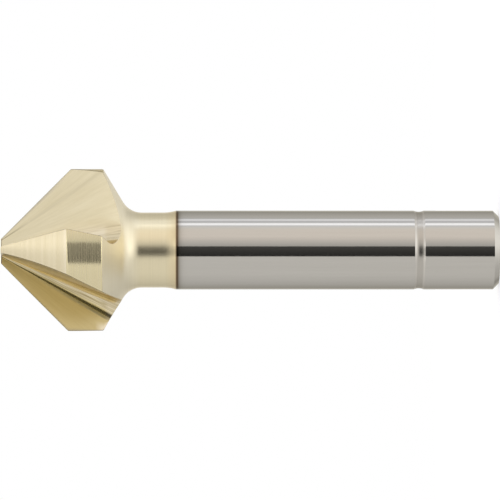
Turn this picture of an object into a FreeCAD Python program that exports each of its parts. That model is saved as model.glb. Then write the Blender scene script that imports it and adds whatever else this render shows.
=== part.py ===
import FreeCAD, Part
import os
from math import cos, hypot, radians, sin, sqrt, tan

# Three-flute 90 degree countersink bit with a plain round shank, one piece of tool steel.
# Millimetres. The shank's flat end lies at z = 0 and the tip points up, along +Z.
# Angles are seen from the tip and run from +X towards +Y.

# turned form, from the tip down
LENGTH = 63.0                # tip flat to shank end
HEAD_D = 20.5                # over the cutting edges and the cylindrical margin
TIP_D = 3.5                  # small diameter, where the cutting edges start
POINT_ANGLE = 90.0           # included angle of the cutting cone
MARGIN_LENGTH = 4.45         # cylinder behind the cone
MARGIN_CORNER_R = 0.4        # rounding between the cylinder and the back of the head
BACK_ANGLE = 59.0            # back of the head, measured from the axis
NECK_LENGTH = 5.95           # foot of the head's back to the shoulder
NECK_FILLET_R = 2.75         # hollow between the back of the head and the neck
NECK_UNDERCUT = 0.25         # how far the neck lies under the shank, on the radius
SHOULDER_R = 6.0             # hollow flare from the neck out to the shank
SHANK_D = 10.0
END_CHAMFER = 0.7            # 45 degree chamfer on the shank end
GROOVE_FROM_END = 10.1       # middle of the ring groove, from the shank end
GROOVE_R = 1.6               # radius of the ring groove's section
GROOVE_DEPTH = 0.14

# teeth: where each cutting edge stands about the axis. They are spaced unevenly, which keeps the bit from chattering
EDGE_ANGLES = (-74.9, -179.4, 52.85)
RELIEF = 0.45                # offset of each tooth's ground cone, so the land falls away behind its edge
RAKE = 11.7                  # cutting face against the radius through its edge

# chip gap in front of each tooth: a flat cutting face, a round root and a straight back.
# Its section is given across the axis twice, in the tip's plane and at the back of the margin.
CORE_D_TIP = 1.33            # core that the gaps leave round the axis
CORE_D_BACK = 11.04
ROOT_R_TIP = 0.146           # radius of the root
ROOT_R_BACK = 2.64
BACK_TURN_TIP = 90.6         # turn of the wall through the root, from the cutting face to the back
BACK_TURN_BACK = 100.9
CUTTER_LEAD = 0.5            # how far the cutters start in front of the tip and end behind the head

head_r = HEAD_D / 2
tip_r = TIP_D / 2
shank_r = SHANK_D / 2
neck_r = shank_r - NECK_UNDERCUT
slope = tan(radians(POINT_ANGLE / 2))
margin_top = LENGTH - (head_r - tip_r) / slope
margin_end = margin_top - MARGIN_LENGTH
back_foot = margin_end - (head_r - neck_r) / tan(radians(BACK_ANGLE))
shoulder = back_foot - NECK_LENGTH
clear_r = 1.5 * head_r       # cutters reach this far out
V = FreeCAD.Vector


def corner_arc(before, corner, after, radius):
    """Start, middle and end of the round that joins two straight lines of the profile, as (r, z) pairs."""
    a = (before[0] - corner[0], before[1] - corner[1])
    b = (after[0] - corner[0], after[1] - corner[1])
    la, lb = hypot(*a), hypot(*b)
    a, b = (a[0] / la, a[1] / la), (b[0] / lb, b[1] / lb)
    half = sqrt((1 + a[0] * b[0] + a[1] * b[1]) / 2)           # cosine of half the angle between the lines
    reach = radius * half / sqrt(1 - half * half)
    away = radius / sqrt(1 - half * half) - radius
    m = (a[0] + b[0], a[1] + b[1])
    lm = hypot(*m)
    start = (corner[0] + a[0] * reach, corner[1] + a[1] * reach)
    middle = (corner[0] + m[0] / lm * away, corner[1] + m[1] / lm * away)
    end = (corner[0] + b[0] * reach, corner[1] + b[1] * reach)
    return start, middle, end


def turned_profile():
    """Half section of the lathe work as (r, z) points and arcs, from the middle of the shank end to the tip.
    The cone stands proud of the cutting edges, for the relief to be ground from it."""
    proud = 2 * RELIEF
    half_chord = sqrt(GROOVE_R ** 2 - (GROOVE_R - GROOVE_DEPTH) ** 2)
    groove = [(shank_r, GROOVE_FROM_END - half_chord), (shank_r - GROOVE_DEPTH, GROOVE_FROM_END),
              (shank_r, GROOVE_FROM_END + half_chord)]
    flare = sqrt(SHOULDER_R ** 2 - (SHOULDER_R - NECK_UNDERCUT) ** 2)
    flare_mid_r = neck_r + SHOULDER_R - sqrt(SHOULDER_R ** 2 - flare ** 2 / 4)
    hollow_flare = [(shank_r, shoulder), (flare_mid_r, shoulder + flare / 2), (neck_r, shoulder + flare)]
    foot, corner = (neck_r, back_foot), (head_r, margin_end)
    hollow = corner_arc((neck_r, shoulder), foot, corner, NECK_FILLET_R)
    rim = corner_arc(foot, corner, (head_r, LENGTH), MARGIN_CORNER_R)
    return [(0, 0), (shank_r - END_CHAMFER, 0), (shank_r, END_CHAMFER), groove, hollow_flare, hollow, rim,
            (head_r, margin_top + proud / slope), (tip_r + proud, LENGTH), (0, LENGTH)]


def turned_blank():
    """The whole bit as it comes off the lathe."""
    edges, last = [], V(0, 0, 0)
    for item in turned_profile()[1:]:
        points = [V(r, 0, z) for r, z in (item if isinstance(item[0], tuple) else [item])]
        edges.append(Part.LineSegment(last, points[0]).toShape())
        if len(points) == 3:
            edges.append(Part.Arc(*points).toShape())
        last = points[-1]
    edges.append(Part.LineSegment(last, V(0, 0, 0)).toShape())
    blank = Part.Face(Part.Wire(edges)).revolve(V(0, 0, 0), V(0, 0, 1), 360)
    blank.rotate(V(0, 0, 0), V(0, 0, 1), gap_middle(EDGE_ANGLES[2]))
    return blank


def direction(angle):
    return V(cos(radians(angle)), sin(radians(angle)), 0)


def gap_middle(edge):
    """Direction that lies in the open gap in front of a cutting edge, all along the head."""
    return edge + BACK_TURN_TIP / 2


def relief_cutter(edge, edge_behind):
    """Takes a tooth's cone down to its ground land: everything outside a cone whose axis is set off from the
    bit's own, between the gap in front of the tooth and the one behind it."""
    low, top = margin_top - 2 * RELIEF / slope, LENGTH + CUTTER_LEAD
    ahead, behind = gap_middle(edge), gap_middle(edge_behind)
    corners = [V(0, 0, low)]
    for k in range(5):
        corners.append(direction(behind + (ahead - behind) % 360 * k / 4) * clear_r + V(0, 0, low))
    sector = Part.Face(Part.makePolygon(corners + corners[:1])).extrude(V(0, 0, top - low))
    set_off = direction(edge + 90) * RELIEF
    ground_r = sqrt(head_r ** 2 + RELIEF ** 2)                 # puts the cutting corner on the head's diameter
    apex, base = margin_top + ground_r / slope, low - RELIEF
    land = Part.makeCone((apex - base) * slope, 0, apex - base, set_off + V(0, 0, base), V(0, 0, 1))
    land.rotate(set_off, V(0, 0, 1), ahead)
    return sector.cut(land)


def between(tip_value, back_value, down):
    """Value `down` below the tip's plane, in line through the values at the tip and at the back of the margin."""
    return tip_value + (back_value - tip_value) * down / (LENGTH - margin_end)


def gap_section(edge, down):
    """Section of the gap in front of a cutting edge, `down` below the tip's plane."""
    along, inward = direction(edge + RAKE), direction(edge + RAKE + 90)
    face = -(tip_r + down * slope) * sin(radians(RAKE))        # the cutting face passes the axis at this distance
    root_r = between(ROOT_R_TIP, ROOT_R_BACK, down)
    core_r = between(CORE_D_TIP, CORE_D_BACK, down) / 2
    swing = radians(between(BACK_TURN_TIP, BACK_TURN_BACK, down))
    reach = sqrt((core_r + root_r) ** 2 - (face + root_r) ** 2)
    root = V(0, 0, LENGTH - down) + inward * face + along * reach
    centre = root + inward * root_r

    def on_root(angle):
        return centre - inward * (root_r * cos(angle)) - along * (root_r * sin(angle))

    back = inward * sin(swing) - along * cos(swing)
    face_end = root + along * clear_r
    back_end = on_root(swing) + back * clear_r
    outer = face_end + back * clear_r
    return Part.Wire([
        Part.LineSegment(face_end, root).toShape(),
        Part.Arc(root, on_root(swing / 2), on_root(swing)).toShape(),
        Part.LineSegment(on_root(swing), back_end).toShape(),
        Part.LineSegment(back_end, outer).toShape(),
        Part.LineSegment(outer, face_end).toShape(),
    ])


def gap_cutter(edge):
    """One chip gap, ruled from its small section in front of the tip to the wide one behind the head."""
    last = LENGTH - back_foot + CUTTER_LEAD
    return Part.makeLoft([gap_section(edge, -CUTTER_LEAD), gap_section(edge, last)], True, True)


def countersink():
    ground = turned_blank().cut([relief_cutter(edge, EDGE_ANGLES[(i + 1) % len(EDGE_ANGLES)])
                                 for i, edge in enumerate(EDGE_ANGLES)])
    return ground.cut([gap_cutter(edge) for edge in EDGE_ANGLES])


bit = countersink()
if len(bit.Solids) != 1 or not bit.isValid():
    raise ValueError("the bit is not one valid solid: %d solids" % len(bit.Solids))
bit = bit.Solids[0]
os.makedirs("parts", exist_ok=True)
bit.exportStep("parts/countersink_bit.step")
print("volume", round(bit.Volume, 1), "faces", len(bit.Faces), "box", bit.optimalBoundingBox(False, False))
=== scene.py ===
import bpy
import numpy as np
from mathutils import Matrix, Vector


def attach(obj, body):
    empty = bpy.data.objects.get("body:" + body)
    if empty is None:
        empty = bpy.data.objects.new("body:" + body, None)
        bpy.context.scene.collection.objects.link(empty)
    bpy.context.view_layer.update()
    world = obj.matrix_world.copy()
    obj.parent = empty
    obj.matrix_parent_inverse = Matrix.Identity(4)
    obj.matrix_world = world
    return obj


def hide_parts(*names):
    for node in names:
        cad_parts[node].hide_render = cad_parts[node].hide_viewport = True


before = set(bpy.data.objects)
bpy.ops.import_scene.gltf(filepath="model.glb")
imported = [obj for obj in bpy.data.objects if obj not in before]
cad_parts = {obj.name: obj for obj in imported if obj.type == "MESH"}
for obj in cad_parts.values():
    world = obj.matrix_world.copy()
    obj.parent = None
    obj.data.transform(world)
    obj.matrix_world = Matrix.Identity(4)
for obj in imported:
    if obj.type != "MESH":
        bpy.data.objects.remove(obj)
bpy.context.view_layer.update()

# Countersink bit, standing on its shank end with the tip up. Its surfaces are worked out in millimetres, from
# the same sizes as the solid, and stored in metres. Heights are measured from the shank end.
MM = 0.001
LENGTH, HEAD_R, TIP_R = 63.0, 10.25, 1.75
NECK_R, SHANK_R = 4.75, 5.0
MARGIN, NECK = 4.45, 5.95            # lengths; the neck's is up to where it would meet the back of the head
BACK = np.radians(59.0)              # back of the head, measured from the axis
MARGIN_TOP = LENGTH - (HEAD_R - TIP_R)
MARGIN_END = MARGIN_TOP - MARGIN
BACK_FOOT = MARGIN_END - (HEAD_R - NECK_R) / np.tan(BACK)
SHOULDER = BACK_FOOT - NECK
CORNER_R, HOLLOW_R, FLARE_R = 0.25, 2.75, 6.0        # rounds: end of the margin, top and foot of the neck
CORNER_REACH, HOLLOW_REACH = CORNER_R * np.tan(BACK / 2), HOLLOW_R * np.tan(BACK / 2)
CORNER_TOP, CORNER_LOW = MARGIN_END + CORNER_REACH, MARGIN_END - CORNER_REACH * np.cos(BACK)
HOLLOW_LOW, HOLLOW_TOP = BACK_FOOT - HOLLOW_REACH, BACK_FOOT + HOLLOW_REACH * np.cos(BACK)
FLARE_TOP = SHOULDER + np.sqrt(FLARE_R ** 2 - (FLARE_R - (SHANK_R - NECK_R)) ** 2)
CHAMFER = 0.7
GROOVE_Z, GROOVE_R, GROOVE_DEPTH = 10.1, 1.6, 0.14
GROOVE_HALF = np.sqrt(GROOVE_R ** 2 - (GROOVE_R - GROOVE_DEPTH) ** 2)
GROOVE_TOP, GROOVE_LOW = GROOVE_Z + GROOVE_HALF, GROOVE_Z - GROOVE_HALF

# The teeth, and the chip gaps between them. A gap is ruled from a section LEAD above the tip to one that lies as
# far under the foot of the head's back, at the depth RUN. Their sizes follow from those at the tip and at the end
# of the margin: the radius of the core, the radius of the root and the turn of the root in degrees.
EDGES = (-74.9, 52.85, 180.6)        # cutting edges about the axis, in degrees, in turning order
RELIEF = 0.45                        # offset of the axis of each tooth's cone
RAKE = np.radians(11.7)              # between the cutting face and the radius at its edge
CORE, ROOT, TURN = (0.665, 5.52), (0.146, 2.64), (90.6, 100.9)
LEAD = 0.5
RUN = LENGTH - BACK_FOOT + LEAD

# Worn corners.
LIP = 0.05                           # between cone and margin
EDGE_ROUND, EDGE_SHARE = 0.06, 0.2   # at a cutting edge and heel, and at most this share of the wall's length
SHANK_ROUND, FLARE_ROUND = 0.012, 0.01

# Grid of points. Every strip has closer columns at its borders, at these ways from them, but at most CLOSE_SHARE
# of the width apart.
LAND_COLUMNS, GAP_COLUMNS = 34, 46
CLOSE, CLOSE_SHARE = (0, 0.03, 0.1), 0.04
FACE_END, ROOT_END = 0.27, 0.67      # shares of a gap's columns at which its face and its root end
EVEN_SHARE = 0.15                    # how far a gap's columns keep to even ways all the same
WORN_STEPS = (0, 0.25, 0.5, 0.75)    # shares of the way over a worn cutting edge or heel
JOIN = 2e-5                          # points that round to the same multiple of this are one
RIM_WITHIN = 1e-7                    # metres from an end's height at which an edge is on the rim of its flat
LEAST_LENGTH, LEAST_PART = 1e-9, 1e-6                # what lengths are divided by is held over these
HALVINGS, FINE_STEPS, ROUNDS = 40, 60, 8             # steps of the searches

# Finishes, as numbers on the mesh, and the height on the rounded corner at which the ground one ends.
GROUND, TURNED, BRIGHT, GAP, EDGE = range(5)
GROUND_END = MARGIN_END - 0.1


def soft_least(a, b, k):
    """The lesser of two lengths, with the corner between them rounded over about k: half of
    a + b less the root of (a - b) squared plus k squared."""
    return (a + b - np.sqrt((a - b) ** 2 + k * k)) / 2


def blank_radius(z):
    """Radius of the turned blank at height z: chamfer, shank with its ring groove, flare, neck, hollow, back of
    the head, rounded corner and margin, each on its own stretch of z. Every round is a circle's arc."""
    chamfered = soft_least(SHANK_R + 0 * z, SHANK_R - CHAMFER + z, SHANK_ROUND)
    off_groove = np.clip(np.abs(z - GROOVE_Z), 0, GROOVE_R * 0.999)      # held just inside the circle
    groove = SHANK_R - GROOVE_DEPTH + GROOVE_R - np.sqrt(GROOVE_R ** 2 - off_groove ** 2)
    shank = soft_least(chamfered, groove, SHANK_ROUND)
    flare = NECK_R + FLARE_R - np.sqrt(FLARE_R ** 2 - np.clip(FLARE_TOP - z, 0, FLARE_R) ** 2)
    up_hollow = np.clip(z - HOLLOW_LOW, 0, HOLLOW_R * np.sin(BACK))
    hollow = NECK_R + HOLLOW_R - np.sqrt(HOLLOW_R ** 2 - up_hollow ** 2)
    back = NECK_R + (z - BACK_FOOT) * np.tan(BACK)
    corner = HEAD_R - CORNER_R + np.sqrt(np.clip(CORNER_R ** 2 - (z - CORNER_TOP) ** 2, 0, None))
    radius = np.where(z > FLARE_TOP, NECK_R, soft_least(shank, flare, FLARE_ROUND))
    for foot, above in ((HOLLOW_LOW, hollow), (HOLLOW_TOP, back), (CORNER_LOW, corner), (CORNER_TOP, HEAD_R)):
        radius = np.where(z > foot, above, radius)
    return radius


def tooth_radius(angle, z, edge):
    """Outer radius of a tooth at an angle about the axis: the lesser of the blank and the ground cone, whose
    axis is set off by RELIEF at a right angle ahead of the cutting edge."""
    ground = np.sqrt(HEAD_R ** 2 + RELIEF ** 2) + MARGIN_TOP - z
    ahead = RELIEF * np.sin(angle - np.radians(edge))
    cone = ahead + np.sqrt(np.clip(ground ** 2 - RELIEF ** 2 + ahead ** 2, 0, None))
    return soft_least(blank_radius(z), cone, LIP)


def gap_section(depth):
    """Section of a chip gap at a depth below the tip: how far the cutting face passes the axis, the root's
    radius, its turn, and how far from the axis along the face it starts."""
    share = depth / (LENGTH - MARGIN_END)
    core, root, turn = (near + (far - near) * share for near, far in (CORE, ROOT, TURN))
    face = -(TIP_R + depth) * np.sin(RAKE)
    return face, root, np.radians(turn), np.sqrt((core + root) ** 2 - (face + root) ** 2)


SECTIONS = (gap_section(-LEAD), gap_section(RUN))


def along_gap(z, near, far):
    """Value at height z of what goes in a straight line from one of the gap's two end sections to the other."""
    share = (LENGTH - z + LEAD) / (RUN + LEAD)
    return (1 - share) * near + share * far


def root_point(z, part):
    """Point at a share `part` of the way round the root at height z, on the straight line between the points at
    the same share of the two end sections: u along the cutting face and v square to it."""
    ends = [(start - root * np.sin(part * turn), face + root * (1 - np.cos(part * turn)))
            for face, root, turn, start in SECTIONS]
    return [along_gap(z, near, far) for near, far in zip(*ends)]


def crossing(z, radius, low, high):
    """Share of the way round the root at which it lies at a radius from the axis, between two shares that lie on
    either side of it, found by halving."""
    for _ in range(HALVINGS):
        middle = (low + high) / 2
        inside = np.hypot(*root_point(z, middle)) < radius
        low, high = np.where(inside, low, middle), np.where(inside, middle, high)
    return (low + high) / 2


def nearest_axis(z):
    """Share of the way round the root at which it comes closest to the axis, found by thirds."""
    low, high = 0 * z, 0 * z + 1
    for _ in range(FINE_STEPS):
        first, second = low + (high - low) / 3, high - (high - low) / 3
        closer = np.hypot(*root_point(z, first)) < np.hypot(*root_point(z, second))
        low, high = np.where(closer, low, first), np.where(closer, second, high)
    return (low + high) / 2


def gap_rows(edge, next_edge, z):
    """Where one gap meets the outside at each height, and the lengths of its wall between: the flat face from
    the cutting edge in to the root, the root, and the straight back out to the heel of the next tooth. The
    radius of the outside changes with the angle, so both ends are found in a few rounds."""
    base = np.radians(edge) + RAKE
    (_, first_root, first_turn, _), (_, last_root, last_turn, _) = SECTIONS
    bend = along_gap(z, first_root * first_turn, last_root * last_turn)
    start, face = root_point(z, 0)
    end_u, end_v = root_point(z, 1)
    back_u = along_gap(z, -np.cos(first_turn), -np.cos(last_turn))
    back_v = along_gap(z, np.sin(first_turn), np.sin(last_turn))
    back_u, back_v = back_u / np.hypot(back_u, back_v), back_v / np.hypot(back_u, back_v)
    inward = end_u * back_u + end_v * back_v
    reach, run = start + 1, start * 0 + 1                # first guesses, a millimetre outside the root
    for _ in range(ROUNDS):
        edge_r = tooth_radius(base + np.arctan2(face, reach), z, edge)
        reach = np.sqrt(np.clip(edge_r ** 2 - face ** 2, 0, None))
        heel_r = tooth_radius(base + np.arctan2(end_v + run * back_v, end_u + run * back_u), z, next_edge)
        run = -inward + np.sqrt(np.clip(inward ** 2 - end_u ** 2 - end_v ** 2 + heel_r ** 2, 0, None))
    nearest = nearest_axis(z)
    no_face, no_back = reach < start, np.hypot(end_u, end_v) > heel_r
    first = np.where(no_face, crossing(z, blank_radius(z), 0 * z, nearest), 0.0)
    last = np.where(no_back, crossing(z, blank_radius(z), 0 * z + 1, nearest), 1.0)
    return dict(z=z, base=base + 0 * z, first=first, bend=bend, back_u=back_u, back_v=back_v,
                on_face=np.where(no_face, 0, reach - start), on_root=bend * (last - first),
                on_back=np.where(no_back, 0, run))


def gap_point(wall, way):
    """Point of a gap's wall at a distance `way` from the cutting edge, measured along the section."""
    round_root = np.clip(way - wall["on_face"], 0, wall["on_root"])
    beyond = np.clip(way - wall["on_face"] - wall["on_root"], 0, None)
    u, v = root_point(wall["z"], wall["first"] + round_root / wall["bend"])
    u = u + np.clip(wall["on_face"] - way, 0, None) + beyond * wall["back_u"]
    v = v + beyond * wall["back_v"]
    c, s = np.cos(wall["base"]), np.sin(wall["base"])
    return np.stack([u * c - v * s, u * s + v * c], axis=-1)


def run_out_height():
    """Height at which the gaps run out, where the root's closest point lies on the blank, found by halving."""
    low, high = HOLLOW_TOP, MARGIN_END - 0.2
    for _ in range(FINE_STEPS):
        middle = np.array((low + high) / 2)
        if blank_radius(middle) > np.hypot(*root_point(middle, nearest_axis(middle))):
            high = middle
        else:
            low = middle
    return float(high)


def heights():
    """Heights of the rows of points from the tip down, with the gaps and then below them: close together where
    the profile turns, and drawn towards the height at which the gaps run out."""
    run_out = run_out_height()
    head = [(LENGTH, LENGTH - 0.02, 2), (LENGTH - 0.15, MARGIN_TOP + 0.45, 44),
            (MARGIN_TOP + 0.35, MARGIN_TOP - 0.65, 34), (MARGIN_TOP - 0.8, MARGIN_END + 0.35, 12),
            (CORNER_TOP, CORNER_LOW, 9)]
    head = [np.linspace(*stretch) for stretch in head]
    head.append(run_out + (CORNER_LOW - 0.06 - run_out) * np.linspace(1, 0, 30) ** 2)
    stops = (run_out, HOLLOW_TOP, HOLLOW_LOW, FLARE_TOP, SHOULDER + 0.05)
    rest = [np.linspace(top, low, count)[1:] for top, low, count in zip(stops, stops[1:], (4, 22, 5, 14))]
    close = np.array([0.05, 0.02, 0, -0.02, -0.05])
    rest += [SHOULDER + np.array([0.02, 0, -0.02, -0.05, -0.12]),
             np.linspace(SHOULDER - 1, GROOVE_TOP + 0.12, 16), GROOVE_TOP + close,
             np.linspace(0.56, -0.56, 13) + GROOVE_Z, GROOVE_LOW + close,
             np.linspace(GROOVE_LOW - 0.12, CHAMFER + 0.3, 8),
             CHAMFER + np.array([0.1, 0.04, 0.02, 0, -0.02, -0.04, -0.1]), [0.4, 0.2, 0.08, 0.03, 0.0]]
    return np.concatenate(head), np.concatenate(rest)


def angle_of(points):
    return np.arctan2(points[..., 1], points[..., 0])


def sheet_of_quads(first, rows, columns):
    """Corners of the quads of a grid of points numbered from `first`, row by row, facing out."""
    i = first + np.arange(rows - 1)[:, None] * columns + np.arange(columns - 1)[None, :]
    return np.stack([i, i + columns, i + columns + 1, i + 1], axis=-1).reshape(-1, 4)


def bow(p, corner, q, t):
    """Points at shares t of a curve that leaves p towards the corner and ends at q, as the corner of a worn edge
    does: (1 - t) squared of p, 2 t (1 - t) of the corner and t squared of q."""
    return (1 - t) ** 2 * p + 2 * t * (1 - t) * corner + t ** 2 * q


def land_strip(edge, start, stop, head, rest):
    """Outside of one tooth, from the heel behind to its own cutting edge, carried on down the neck and shank:
    columns at even angles, with closer ones at both borders. Its marks are the way round the shank and the
    height."""
    width = (stop - start)[:, None]
    close = np.minimum(np.array(CLOSE) / blank_radius(head)[:, None], width * CLOSE_SHARE * np.arange(len(CLOSE)))
    inner = np.linspace(0, 1, LAND_COLUMNS)[None, 1:-1]
    angle = np.concatenate([start[:, None] + close,
                            start[:, None] + close[:, -1:] + (width - 2 * close[:, -1:]) * inner,
                            (stop[:, None] - close)[:, ::-1]], axis=1)
    radius = np.concatenate([tooth_radius(angle, head[:, None], edge),
                             np.repeat(blank_radius(rest)[:, None], angle.shape[1], axis=1)])
    angle = np.concatenate([angle, np.repeat(angle[-1:], len(rest), axis=0)])
    z = np.repeat(np.concatenate([head, rest])[:, None], angle.shape[1], axis=1)
    between = (z[1:, :-1] + z[:-1, :-1]) / 2
    finish = np.where(between < SHOULDER, BRIGHT, np.where(between < GROUND_END, TURNED, GROUND))
    spots = np.stack([radius * np.cos(angle), radius * np.sin(angle), z], axis=-1)
    return spots, np.stack([angle * SHANK_R, z], axis=-1), finish


def gap_strip(wall, length, worn, before, after):
    """Wall of one gap from the cutting edge to the heel, between the border columns of the lands on both sides.
    Its marks are two numbers. One is the way from the start of the root, divided by the depth below the apex of
    the cone, so that it stays the same along straight lines through the apex. The other goes from 0 to 1 over the
    cutting face, to 2 over the root and to 3 over the back."""
    wall = {name: values[:, None] for name, values in wall.items()}
    length, worn = length[:, None], worn[:, None]
    share = np.linspace(0, 1, GAP_COLUMNS)[None, :]
    face_end = wall["on_face"] / np.maximum(length, LEAST_LENGTH)
    back_start = 1 - wall["on_back"] / np.maximum(length, LEAST_LENGTH)
    even = np.interp(share, (0, FACE_END, ROOT_END, 1), (0, 1, 2, 3))
    on_root = face_end + (even - 1) * (back_start - face_end)
    on_back = back_start + (even - 2) * (1 - back_start)
    placed = np.where(even < 1, even * face_end, np.where(even < 2, on_root, on_back))
    border = worn + np.minimum(CLOSE[1], CLOSE_SHARE * length)
    way = border + (length - 2 * border) * (EVEN_SHARE * share + (1 - EVEN_SHARE) * placed)
    way = np.concatenate([worn, way, length - worn], axis=1)

    spots = gap_point(wall, way)
    t = np.array(WORN_STEPS)[None, :, None]
    edge = bow(before[:, None, :2], gap_point(wall, 0 * length), spots[:, :1], t)
    heel = bow(after[:, None, :2], gap_point(wall, length), spots[:, -1:], t)[:, ::-1]
    spots = np.concatenate([edge, spots, heel], axis=1)
    spots = np.concatenate([spots, wall["z"][..., None] + 0 * spots[..., :1]], axis=-1)

    steps = 0 * t[..., 0] + 0 * length
    way = np.concatenate([steps, way, steps + length], axis=1)
    round_root = wall["first"] + np.clip(way - wall["on_face"], 0, wall["on_root"]) / wall["bend"]
    fan = (way - wall["on_face"] + wall["first"] * wall["bend"]) / (LENGTH - wall["z"] + TIP_R)
    over_face = np.clip(way / np.maximum(wall["on_face"], LEAST_PART), 0, 1)
    over_face = np.where(wall["on_face"] > 0, over_face, 1)
    beyond = way - wall["on_face"] - wall["on_root"]
    over_back = np.clip(beyond / np.maximum(wall["on_back"], LEAST_PART), 0, 1)
    zone = over_face + round_root + over_back * (wall["on_back"] > 0)
    finish = np.full((spots.shape[0] - 1, spots.shape[1] - 1), GAP)
    # The rounded cutting edge and heel take the EDGE finish, which is painted dark as painted shade.
    finish[:, :len(WORN_STEPS)] = finish[:, -len(WORN_STEPS):] = EDGE
    return spots, np.stack([fan, zone], axis=-1), finish


def bit_surface():
    """The whole skin of the bit as grids of points: for each tooth a strip of its outside that carries on down
    the neck and shank, and for each gap a strip of its wall down to where it runs out. Strips share their
    border points, which are joined afterwards. Gives the points, the quads, each point's marks, each quad's
    finish, and the rings of points round the tip and the shank end."""
    head, rest = heights()
    walls = [gap_rows(EDGES[i], EDGES[(i + 1) % 3], head) for i in range(3)]
    length = [wall["on_face"] + wall["on_root"] + wall["on_back"] for wall in walls]
    worn = [np.minimum(EDGE_ROUND, EDGE_SHARE * way) for way in length]
    first = [angle_of(gap_point(wall, 0 * head)) for wall in walls]
    last = [angle_of(gap_point(wall, way)) for wall, way in zip(walls, length)]
    radius = blank_radius(head)
    strips = []
    for i, edge in enumerate(EDGES):
        start = np.unwrap(last[i - 1])
        stop = start + (first[i] - start) % (2 * np.pi)
        strips.append(land_strip(edge, start + worn[i - 1] / radius, stop - worn[i] / radius, head, rest))
    for i, wall in enumerate(walls):
        before, after = strips[i][0][:len(head), -1], strips[(i + 1) % 3][0][:len(head), 0]
        strips.append(gap_strip(wall, length[i], worn[i], before, after))
    columns = [spots.shape[1] for spots, _, _ in strips]
    counts = np.cumsum([0] + [spots.shape[0] * spots.shape[1] for spots, _, _ in strips])
    quads = [sheet_of_quads(count, *spots.shape[:2]) for count, (spots, _, _) in zip(counts, strips)]
    tip = np.concatenate([np.concatenate([np.arange(counts[i], counts[i] + columns[i]),
                                          np.arange(counts[i + 3] + 1, counts[i + 3] + columns[i + 3] - 1)])
                          for i in range(3)])
    foot = np.concatenate([np.arange(counts[i + 1] - columns[i], counts[i + 1] - 1) for i in range(3)])[::-1]
    return (np.concatenate([spots.reshape(-1, 3) for spots, _, _ in strips]), np.concatenate(quads),
            np.concatenate([marks.reshape(-1, 2) for _, marks, _ in strips]),
            np.concatenate([finish.reshape(-1) for _, _, finish in strips]), tip, foot)


def build_bit(materials):
    """Mesh of the bit: the grids' points joined where they meet, a flat at the tip and one at the shank end."""
    spots, quads, places, finish, tip, foot = bit_surface()
    rounded = np.round(spots / JOIN).astype(np.int64)
    _, first, same = np.unique(rounded, axis=0, return_index=True, return_inverse=True)
    same = same.reshape(-1)
    points = spots[first] * MM
    corners = same[quads]
    own = corners != np.roll(corners, 1, axis=1)
    keep = own.sum(axis=1) > 2
    caps = [ring[same[ring] != same[np.roll(ring, 1)]] for ring in (tip, foot)]
    raw = np.concatenate([quads[keep][own[keep]]] + caps)
    sides = np.concatenate([own[keep].sum(axis=1), [len(ring) for ring in caps]])
    mesh = bpy.data.meshes.new("countersink_bit_skin")
    mesh.vertices.add(len(points))
    mesh.vertices.foreach_set("co", points.ravel())
    mesh.loops.add(len(raw))
    mesh.loops.foreach_set("vertex_index", same[raw].astype(np.int32))
    mesh.polygons.add(len(sides))
    mesh.polygons.foreach_set("loop_start", (np.cumsum(sides) - sides).astype(np.int32))
    kinds = np.concatenate([finish[keep], [GROUND, BRIGHT]])
    mesh.polygons.foreach_set("material_index", kinds.astype(np.int32))
    mesh.polygons.foreach_set("use_smooth", np.ones(len(sides), bool))
    mesh.update(calc_edges=True)
    marks = mesh.uv_layers.new(name="marks")
    marks.data.foreach_set("uv", places[raw].astype(np.float32).ravel())
    ends = np.zeros(len(mesh.edges) * 2, np.int32)
    mesh.edges.foreach_get("vertices", ends)
    level = points[ends.reshape(-1, 2), 2]
    flat = np.logical_or(*((np.abs(level - end) < RIM_WITHIN).all(axis=1) for end in (0, LENGTH * MM)))
    mesh.attributes.new("sharp_edge", "BOOLEAN", "EDGE").data.foreach_set("value", flat)
    for material in materials:
        mesh.materials.append(material)
    piece = bpy.data.objects.new("countersink_bit_skin", mesh)
    bpy.context.scene.collection.objects.link(piece)
    return piece


# Tints of the finishes at grazing angles.
DARK_RIM, STEEL_RIM, PALE_RIM = (0.62, 0.58, 0.48), (0.7, 0.68, 0.62), (0.95, 0.92, 0.85)


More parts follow.
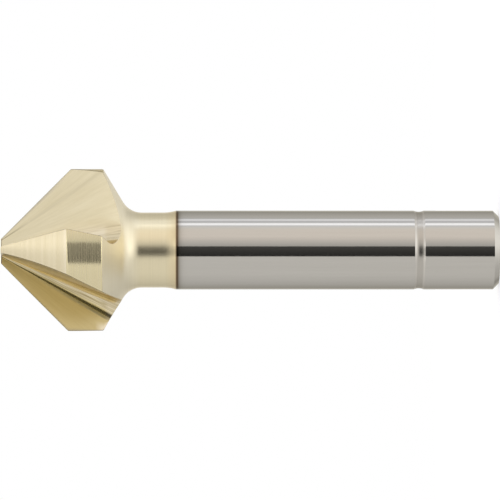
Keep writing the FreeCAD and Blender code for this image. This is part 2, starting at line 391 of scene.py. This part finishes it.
class Finish:
    """A metal finish as a node tree. Each call adds nodes and returns what comes out of the last of them."""

    def __init__(self, name, rim, stretched=0.0):
        self.material = bpy.data.materials.new(name)
        self.material.use_nodes = True
        self.tree = self.material.node_tree
        self.metal = self.tree.nodes["Principled BSDF"]
        self.fill(self.metal, {"Metallic": 1.0, "Specular Tint": (*rim, 1)})
        self.place = self.node("TexCoord")
        self.height = self.node("SeparateXYZ", {0: self.place.outputs["Object"]}).outputs["Z"]
        if stretched:
            around = self.node("Tangent", direction_type="RADIAL", axis="Z").outputs[0]
            self.fill(self.metal, {"Tangent": around, "Anisotropic": stretched, "Anisotropic Rotation": 0.25})

    def fill(self, node, inputs):
        """Sets inputs of a node, given by name or number, each to a value or to another node's output."""
        for name, value in inputs.items():
            if isinstance(value, bpy.types.NodeSocket):
                self.tree.links.new(value, node.inputs[name])
            else:
                node.inputs[name].default_value = value

    def node(self, kind, inputs=None, **settings):
        node = self.tree.nodes.new("ShaderNode" + kind)
        for name, value in settings.items():
            setattr(node, name, value)
        self.fill(node, inputs or {})
        return node

    def math(self, operation, first, second=0.0, clamp=False):
        return self.node("Math", {0: first, 1: second}, operation=operation, use_clamp=clamp).outputs[0]

    def product(self, first, second):
        return self.math("MULTIPLY", first, second)

    def distance(self, value, middle):
        return self.math("ABSOLUTE", self.math("SUBTRACT", value, middle))

    def spread(self, value, low, high, at_low, at_high):
        """Number that goes from at_low to at_high as the value goes from low to high, and stays there beyond."""
        return self.node("MapRange", {"Value": value, "From Min": low, "From Max": high,
                                      "To Min": at_low, "To Max": at_high}).outputs[0]

    def by_height(self, low, high, at_low, at_high):
        """The same over the height on the bit, given in millimetres."""
        return self.spread(self.height, low * MM, high * MM, at_low, at_high)

    def noise(self, cells, detail, place=None):
        """Noise between 0 and 1 with this many cells to a metre along each axis, or to a unit of other marks."""
        scaled = self.node("Mapping", {"Vector": place or self.place.outputs["Object"], "Scale": cells})
        return self.node("TexNoise", {"Vector": scaled.outputs[0], "Scale": 1.0, "Detail": detail,
                                      "Roughness": 0.6}).outputs["Fac"]

    def patches(self, noise):
        """A noise with its middle spread over 0 to 1."""
        return self.spread(noise, 0.3, 0.7, 0, 1)

    def blend(self, share, first, second):
        """Colour that goes from the first to the second as the share goes from 0 to 1."""
        first, second = ((*c, 1) if isinstance(c, tuple) else c for c in (first, second))
        colour_a, colour_b, colour_out = 6, 7, 2
        mix = self.node("Mix", data_type="RGBA")
        self.fill(mix, {0: share, colour_a: first, colour_b: second})
        return mix.outputs[colour_out]

    def done(self, colour, roughness, relief=None, depth=0.0):
        """The material, with its colour, its roughness and a relief of a depth in millimetres."""
        self.fill(self.metal, {"Base Color": colour, "Roughness": roughness})
        if relief:
            bump = self.node("Bump", {"Height": relief, "Strength": 1.0, "Distance": depth * MM})
            self.fill(self.metal, {"Normal": bump.outputs[0]})
        return self.material


def ground_coat():
    """Pale gold coating over the ground cone and margin: fine rings of grinding marks about the axis, which
    stretch reflections along it. The cone is painted palest just above the margin, a painted highlight where it
    rounds into the margin, and the margin's rings are stronger."""
    f = Finish("coated_ground", DARK_RIM, stretched=0.95)
    rings = f.noise((110, 110, 9500), 2)
    uneven = f.patches(f.noise((60, 60, 2600), 2))
    on_cone = f.by_height(MARGIN_TOP - 0.03, MARGIN_TOP, 0, 1)
    margin = f.blend(uneven, (0.775, 0.675, 0.425), (0.795, 0.695, 0.445))
    cone = f.blend(uneven, (0.775, 0.675, 0.46), (0.825, 0.725, 0.51))
    # Painted highlight: up to half of a pale colour over the 0.6 mm of cone above the margin, for the light its
    # lip catches.
    painted_lip_highlight = f.product(f.by_height(MARGIN_TOP, MARGIN_TOP + 0.6, 0.5, 0), on_cone)
    colour = f.blend(painted_lip_highlight, f.blend(on_cone, margin, cone), (0.93, 0.83, 0.63))
    ridges = f.product(f.math("SUBTRACT", rings, 0.5), f.spread(on_cone, 0, 1, 0.22, 0.10))
    return f.done(colour, f.math("ADD", ridges, 0.25), rings, 0.0007)


def turned_coat():
    """The same coating over the turned back of the head and the neck, with softer marks of the turning tool. It
    lies thinner, paler and rougher on the back of the head. Towards the shoulder heat has turned it browner, and
    a thin ring of it is scorched."""
    f = Finish("coated_turned", PALE_RIM)
    rings = f.noise((60, 60, 5200), 3)
    uneven = f.patches(rings)
    neck = f.blend(uneven, (0.785, 0.695, 0.47), (0.835, 0.74, 0.51))
    neck = f.blend(f.by_height(SHOULDER, SHOULDER + 1.4, 0.75, 0), neck, (0.76, 0.62, 0.37))
    neck = f.blend(f.by_height(SHOULDER + 0.02, SHOULDER + 0.16, 0.8, 0), neck, (0.28, 0.19, 0.11))
    back = f.blend(uneven, (0.84, 0.77, 0.585), (0.86, 0.79, 0.615))
    colour = f.blend(f.by_height(HOLLOW_LOW, HOLLOW_TOP, 0, 1), neck, back)
    return f.done(colour, f.by_height(HOLLOW_LOW, HOLLOW_TOP, 0.275, 0.42), rings, 0.003)


def bare_steel():
    """Bright ground shank: grey steel with fine streaks along it. Where the coating ends, heat leaves a dark line
    and a brown haze, which fades below it as e to the power of less the depth over 0.26 mm. The ring groove is
    rougher and darker, with rims painted paler as a painted highlight."""
    f = Finish("bright_steel", STEEL_RIM)
    streaks = f.noise((2500, 2500, 60), 3)
    steel = f.blend(f.patches(streaks), (0.545, 0.52, 0.47), (0.565, 0.54, 0.49))
    off_groove = f.distance(f.height, GROOVE_Z * MM)
    in_groove = f.spread(off_groove, (GROOVE_HALF - 0.08) * MM, (GROOVE_HALF + 0.02) * MM, 1, 0)
    # Painted highlight: the groove's rims are painted paler than its middle, where they catch the light.
    rim_highlight = f.spread(off_groove, 0.32 * MM, 0.45 * MM, 0, 1)
    steel = f.blend(in_groove, steel, f.blend(rim_highlight, (0.505, 0.475, 0.42), (0.605, 0.57, 0.515)))
    below = f.math("SUBTRACT", SHOULDER * MM, f.height)
    haze = f.math("MULTIPLY", f.math("EXPONENT", f.math("DIVIDE", below, -0.26 * MM)), 2.0, clamp=True)
    colour = f.blend(haze, steel, (0.14, 0.11, 0.075))
    colour = f.blend(f.spread(below, 0.08 * MM, 0.28 * MM, 1, 0), colour, (0.125, 0.08, 0.045))
    return f.done(colour, f.spread(in_groove, 0, 1, 0.08, 0.24), streaks, 0.0004)


def gap_coat():
    """Coating inside a chip gap, on the wall's marks: long streaks that fan out from the tip. The cutting face is
    yellow, with painted shade along its edge and a painted highlight at its outer back corner. Painted shade
    makes a dark line at the foot of the root, darkest away from the tip, then comes the smooth root with strong
    streaks and its far side, painted paler as painted light, which both turn into a pale tail where the gap runs
    out. The back has one dark scratch, and a greyer band along the heel near the tip. The gap's last 0.2 mm at
    the tip is painted dark as painted shade. Colours change over stretches of the marks' second number."""
    f = Finish("coated_gap", PALE_RIM)
    marks = f.node("SeparateXYZ", {0: f.place.outputs["UV"]}).outputs
    fan, zone = marks["X"], marks["Y"]
    lines = f.node("CombineXYZ", {"X": fan, "Y": f.height}).outputs[0]
    fine, broad = f.noise((30, 220, 1), 4, lines), f.noise((9, 130, 1), 3, lines)
    shade = f.spread(f.math("ADD", f.product(fine, 0.6), f.product(broad, 0.4)), 0.38, 0.62, 0, 1)
    streaks = f.spread(f.noise((48, 150, 1), 2, lines), 0.42, 0.6, 0, 1)
    near_tip = f.by_height(MARGIN_TOP - 3.0, LENGTH - 3.0, 0, 1)
    run_out = f.by_height(MARGIN_END - 0.7, MARGIN_END - 0.1, 1, 0)

    face = f.blend(shade, f.blend(near_tip, (0.69, 0.555, 0.27), (0.83, 0.675, 0.33)),
                   f.blend(near_tip, (0.74, 0.605, 0.305), (0.89, 0.735, 0.375)))
    # Painted highlight: the face's outer back corner, up to a millimetre above the margin's end, is painted pale
    # for a lamp it reflects.
    corner = f.by_height(MARGIN_END + 0.15, MARGIN_END + 1.05, 1, 0)
    face = f.blend(f.product(f.spread(zone, 0.25, 0.65, 1, 0), corner), face, (0.98, 0.86, 0.62))
    # Painted shade: the face is painted darker along its cutting edge, for the dark that the rounded edge
    # reflects.
    face = f.blend(f.spread(zone, 0.03, 0.10, 0.6, 0), face, (0.50, 0.43, 0.29))

    tail = f.blend(streaks, (0.64, 0.54, 0.345), (0.835, 0.73, 0.51))
    root = f.blend(run_out, f.blend(streaks, (0.43, 0.345, 0.18), (0.77, 0.655, 0.415)), tail)
    # Painted light: the root's far side is painted paler than the root, to brighten a part that reflections leave
    # dark.
    far_side_painted_light = f.blend(run_out, f.blend(streaks, (0.74, 0.64, 0.455), (0.90, 0.81, 0.62)), tail)
    # Painted shade: the foot of the root and the line along it are painted dark, darkest away from the tip, for
    # the shade in the crease between face and root.
    foot = f.blend(near_tip, (0.42, 0.35, 0.18), (0.87, 0.73, 0.37))
    root_foot_shade = f.blend(shade, (0.60, 0.46, 0.15), (0.70, 0.545, 0.19))
    root_foot_shade = f.blend(f.product(run_out, 0.6), f.blend(f.spread(zone, 1.04, 1.11, 0, 1), foot, root_foot_shade), tail)

    back = f.blend(shade, (0.76, 0.665, 0.445), (0.83, 0.735, 0.515))
    heel = f.product(f.spread(zone, 2.90, 2.97, 0, 0.6), f.by_height(MARGIN_TOP, MARGIN_TOP + 2.5, 0, 1))
    back = f.blend(heel, back, (0.52, 0.475, 0.38))
    scratch = f.product(f.spread(f.distance(fan, 0.835), 0.012, 0.055, 1, 0),
                        f.by_height(LENGTH - 3.5, LENGTH - 0.6, 0.12, 0.65))
    back = f.blend(scratch, back, (0.27, 0.22, 0.12))

    colour = face
    for start, end, beyond in ((0.94, 1.01, root_foot_shade), (1.17, 1.27, root), (1.4, 1.56, far_side_painted_light),
                               (1.95, 2.1, back)):
        colour = f.blend(f.spread(zone, start, end, 0, 1), colour, beyond)
    # Painted shade: the last 0.2 mm of the gap at the tip is painted dark, for the dark rim that the tip
    # reflects.
    colour = f.blend(f.by_height(LENGTH - 0.2, LENGTH - 0.03, 0, 0.75), colour, (0.30, 0.24, 0.14))
    smooth = f.spread(f.distance(zone, 1.38), 0.2, 0.3, 0.17, 0.28)
    soft = f.spread(f.distance(zone, 1.01), 0.05, 0.12, 0.5, 0)
    coarse = f.spread(f.distance(zone, 2.0), 0.15, 0.35, 0.5, 0)
    return f.done(colour, f.math("MAXIMUM", f.math("MAXIMUM", smooth, soft), coarse), fine, 0.004)


def painted_edge_shade():
    """Cutting edges and heels, painted dark brown in patches as a painted shade, for the shade behind the bit
    that these rounded edges reflect at grazing angles. They turn pale where the gaps run out."""
    f = Finish("painted_edge_shade", DARK_RIM)
    # Painted shade: patches of dark brown over the rounded cutting edges and heels.
    patchy_shade = f.spread(f.noise((900, 900, 900), 3), 0.35, 0.65, 0, 1)
    colour = f.blend(patchy_shade, (0.24, 0.20, 0.12), (0.42, 0.35, 0.22))
    colour = f.blend(f.by_height(MARGIN_END - 0.6, MARGIN_END, 0.8, 0), colour, (0.82, 0.73, 0.55))
    return f.done(colour, f.spread(patchy_shade, 0, 1, 0.25, 0.4))


bit = build_bit([ground_coat(), turned_coat(), bare_steel(), gap_coat(), painted_edge_shade()])
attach(bit, "root")
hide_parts("countersink_bit")

# Studio. A tent of lit white cloth stands round the bit, which only reflections see. AROUND is the brightness of
# its wall, by the direction in degrees from the lens towards +X: two narrow lamps stand at its upper side in the
# picture, and shade lies behind both edges of the bit. OVERHEAD is that of its roof, by the share of +X in the
# direction.
AROUND = ((-180, 0.90), (-155, 0.88), (-148, 0.56), (-100, 0.72), (-75, 0.80), (-20, 0.81), (14, 0.62),
          (25, 0.80), (40, 1.0), (66, 1.0), (76, 0.94), (78, 1.6), (84, 1.6), (86.5, 0.83), (94, 0.83),
          (96, 1.23), (101, 1.22), (104, 0.76), (147, 0.56), (154, 0.88), (180, 0.90))
OVERHEAD = ((-1, 0.85), (-0.2, 0.91), (-0.1, 0.95), (0, 1.10), (0.075, 1.20), (0.15, 1.16), (0.28, 1.12),
            (0.5, 0.84), (1, 0.84))
ROOF_IN_FRONT = 0.84
WALL_EDGE = (15, 40)                 # degrees from the horizon between which the wall turns into roof or paper
FRONT_LAMPS = ((42, 18, 1.3), (-60, 10, 0.8))        # soft ones over and under the lens: height, width, strength
LAMP_SPREAD = 22                     # of both, in degrees round the axis
WARM, COOL = np.array([1.03, 0.975, 0.94]), np.array([0.98, 1.01, 1.10])
TENT_R, OPENING_R, MIDDLE = 0.45, 0.35, 0.0315       # in metres; the middle is level with that of the bit

# The dark opening that the lens looks through, from side to side in degrees, with its brightness at both. It is
# hazy towards its lower and upper border: HAZE is added at the heights LIFTS, in metres.
OPENING, OPENING_DARK = (-18.5, 10.8), (0.03, 0.085)
LIFTS = (-0.17, -0.13, -0.10, -0.075, -0.06, 0, 0.118, 0.132, 0.30, 0.32)
HAZE = (0.9, 0.66, 0.42, 0.2, 0, 0, 0, 0.4, 0.42, 0.8)

FLOOR_R, FLOOR_SIDES, FLOOR_DROP = 0.15, 96, 0.00005                 # drop below the shank end, in metres
FLOOR_GREY, FLOOR_GLOW = 0.5, 0.52


def ease(value, low, high):
    """0 below low, 1 above high, and 3 t squared less 2 t cubed between."""
    t = np.clip((value - low) / (high - low), 0, 1)
    return t * t * (3 - 2 * t)


def bell(value, middle, width):
    """e to the power of minus the square of the distance from the middle, counted in widths."""
    return np.exp(-((value - middle) / width) ** 2)


def direction(around, height):
    """Unit vector at an angle round the axis, from the lens towards +X, and at one above the horizon."""
    a, h = np.radians(around), np.radians(height)
    return np.stack([np.sin(a) * np.cos(h), -np.cos(a) * np.cos(h), np.sin(h)], axis=-1)


def tent_light(around, height):
    """Colour of the tent's cloth in a direction: wall near the horizon, roof above and white paper below, each
    eased into the next, and the two soft lamps in front. The paper is 0.78, plus 0.57 of a bell a little towards
    +X that is narrower behind, and dims in two steps towards the back. The wall is warm on the way to the first
    narrow lamp, and cool round both."""
    x, y, _ = np.moveaxis(direction(around, height), -1, 0)
    up, down = ease(height, *WALL_EDGE), ease(-height, *WALL_EDGE)
    in_wall = 1 - up - down
    in_front = ease(-y, 0.3, 0.5)
    wall = np.interp(around, *zip(*AROUND))
    roof = np.interp(x, *zip(*OVERHEAD)) * (1 - in_front) + ROOF_IN_FRONT * in_front
    reach = np.where(x < 0.25, 0.4, 0.62 - 0.4 * ease(y, 0.2, 0.5))
    paper = (0.78 - 0.14 * ease(y, -0.1, 0.3) + 0.57 * bell(x, 0.25, reach)) * (1 - 0.3 * ease(y, 0.5, 0.7))
    lamps = sum(strength * bell(height, at, width) for at, width, strength in FRONT_LAMPS)
    level = wall * in_wall + roof * up + paper * down + bell(around, 0, LAMP_SPREAD) * lamps
    warmth = ease(around, 5, 40) * (1 - ease(around, 58, 74)) * in_wall
    coolness = ease(around, 68, 77) * (1 - ease(around, 102, 110)) * in_wall
    return level[..., None] * (1 + (WARM - 1) * warmth[..., None] + (COOL - 1) * coolness[..., None])


def lit_cloth(name, spots, light):
    """Grid of points that only reflections see, glowing with the colour given at each point."""
    mesh = bpy.data.meshes.new(name)
    mesh.from_pydata(spots.reshape(-1, 3), [], sheet_of_quads(0, *spots.shape[:2]))
    mesh.attributes.new("light", "FLOAT_COLOR", "POINT").data.foreach_set(
        "color", np.concatenate([light, 1 + 0 * light[..., :1]], axis=-1).astype(np.float32).ravel())
    material = bpy.data.materials.new(name)
    material.use_nodes = True
    nodes, links = material.node_tree.nodes, material.node_tree.links
    nodes.clear()
    light_at = nodes.new("ShaderNodeAttribute")
    light_at.attribute_name = "light"
    glow, out = nodes.new("ShaderNodeEmission"), nodes.new("ShaderNodeOutputMaterial")
    links.new(light_at.outputs["Color"], glow.inputs["Color"])
    links.new(glow.outputs[0], out.inputs["Surface"])
    mesh.materials.append(material)
    cloth = bpy.data.objects.new(name, mesh)
    bpy.context.scene.collection.objects.link(cloth)
    cloth.visible_camera = cloth.visible_diffuse = cloth.visible_shadow = False


around = np.unique(np.concatenate([[angle for angle, _ in AROUND], np.linspace(-180, 180, 61)]))
around, height = np.meshgrid(around, np.linspace(-90, 90, 49))
lit_cloth("light_tent", direction(around, height) * TENT_R + (0, 0, MIDDLE), tent_light(around, height))

across, lift = np.meshgrid(np.linspace(*OPENING, 13), LIFTS)
opening = direction(across, 0 * across) * OPENING_R
opening[..., 2] = lift
dark = np.interp(across, OPENING, OPENING_DARK) + np.interp(lift, LIFTS, HAZE)
lit_cloth("lens_opening", opening, dark[..., None] * np.ones(3))

world = bpy.data.worlds.new("white_studio")
bpy.context.scene.world = world
world.use_nodes = True
world.node_tree.nodes["Background"].inputs["Color"].default_value = (1, 1, 1, 1)
world.node_tree.nodes["Background"].inputs["Strength"].default_value = 1.0

# Floor: a pale disc that keeps the bit's shadow and that reflections don't see.
turn = np.linspace(0, 2 * np.pi, FLOOR_SIDES, endpoint=False)
rim = np.stack([FLOOR_R * np.cos(turn), FLOOR_R * np.sin(turn), 0 * turn - FLOOR_DROP], axis=-1)
floor_mesh = bpy.data.meshes.new("floor")
floor_mesh.from_pydata(rim, [], [list(range(FLOOR_SIDES))])
floor = bpy.data.objects.new("floor", floor_mesh)
bpy.context.scene.collection.objects.link(floor)
floor_paint = bpy.data.materials.new("floor_paint")
floor_paint.use_nodes = True
paint = floor_paint.node_tree.nodes["Principled BSDF"].inputs
paint["Base Color"].default_value = (FLOOR_GREY, FLOOR_GREY, FLOOR_GREY, 1)
paint["Roughness"].default_value = 0.9
paint["Emission Color"].default_value = (1, 1, 1, 1)
paint["Emission Strength"].default_value = FLOOR_GLOW
floor_mesh.materials.append(floor_paint)
floor.visible_glossy = False

# Camera: a long lens beside the bit, rolled so that the tip points left. Columns are those of the picture. The
# lens stands beside one of them and looks at another.
FRAME, SENSOR = 500, 36              # width of the picture in pixels, and of the sensor in millimetres
PIXEL = 0.12669 * MM                 # metres for each pixel, at the axis
DISTANCE = 0.5835                    # of the lens from the axis, in metres
TIP_COLUMN, LENS_COLUMN, AIM_COLUMN = 1.1, 190, 250


def column_height(column):
    """Height on the bit's axis of a column of the picture, in metres."""
    return LENGTH * MM - (column - TIP_COLUMN) * PIXEL


eye = Vector((0, -DISTANCE, column_height(LENS_COLUMN)))
target = Vector((0, 0, column_height(AIM_COLUMN)))
forward = (target - eye).normalized()
right = forward.cross(Vector((1, 0, 0))).normalized()
up = right.cross(forward)
camera_data = bpy.data.cameras.new("camera")
camera_data.sensor_width = SENSOR
camera_data.lens = SENSOR * (target - eye).length / (FRAME * PIXEL)
camera_data.clip_start, camera_data.clip_end = 0.01, 10
camera = bpy.data.objects.new("camera", camera_data)
bpy.context.scene.collection.objects.link(camera)
camera.matrix_world = Matrix((
    (right.x, up.x, -forward.x, eye.x), (right.y, up.y, -forward.y, eye.y),
    (right.z, up.z, -forward.z, eye.z), (0, 0, 0, 1)))
bpy.context.scene.camera = camera
bpy.context.scene.view_settings.view_transform = "Standard"
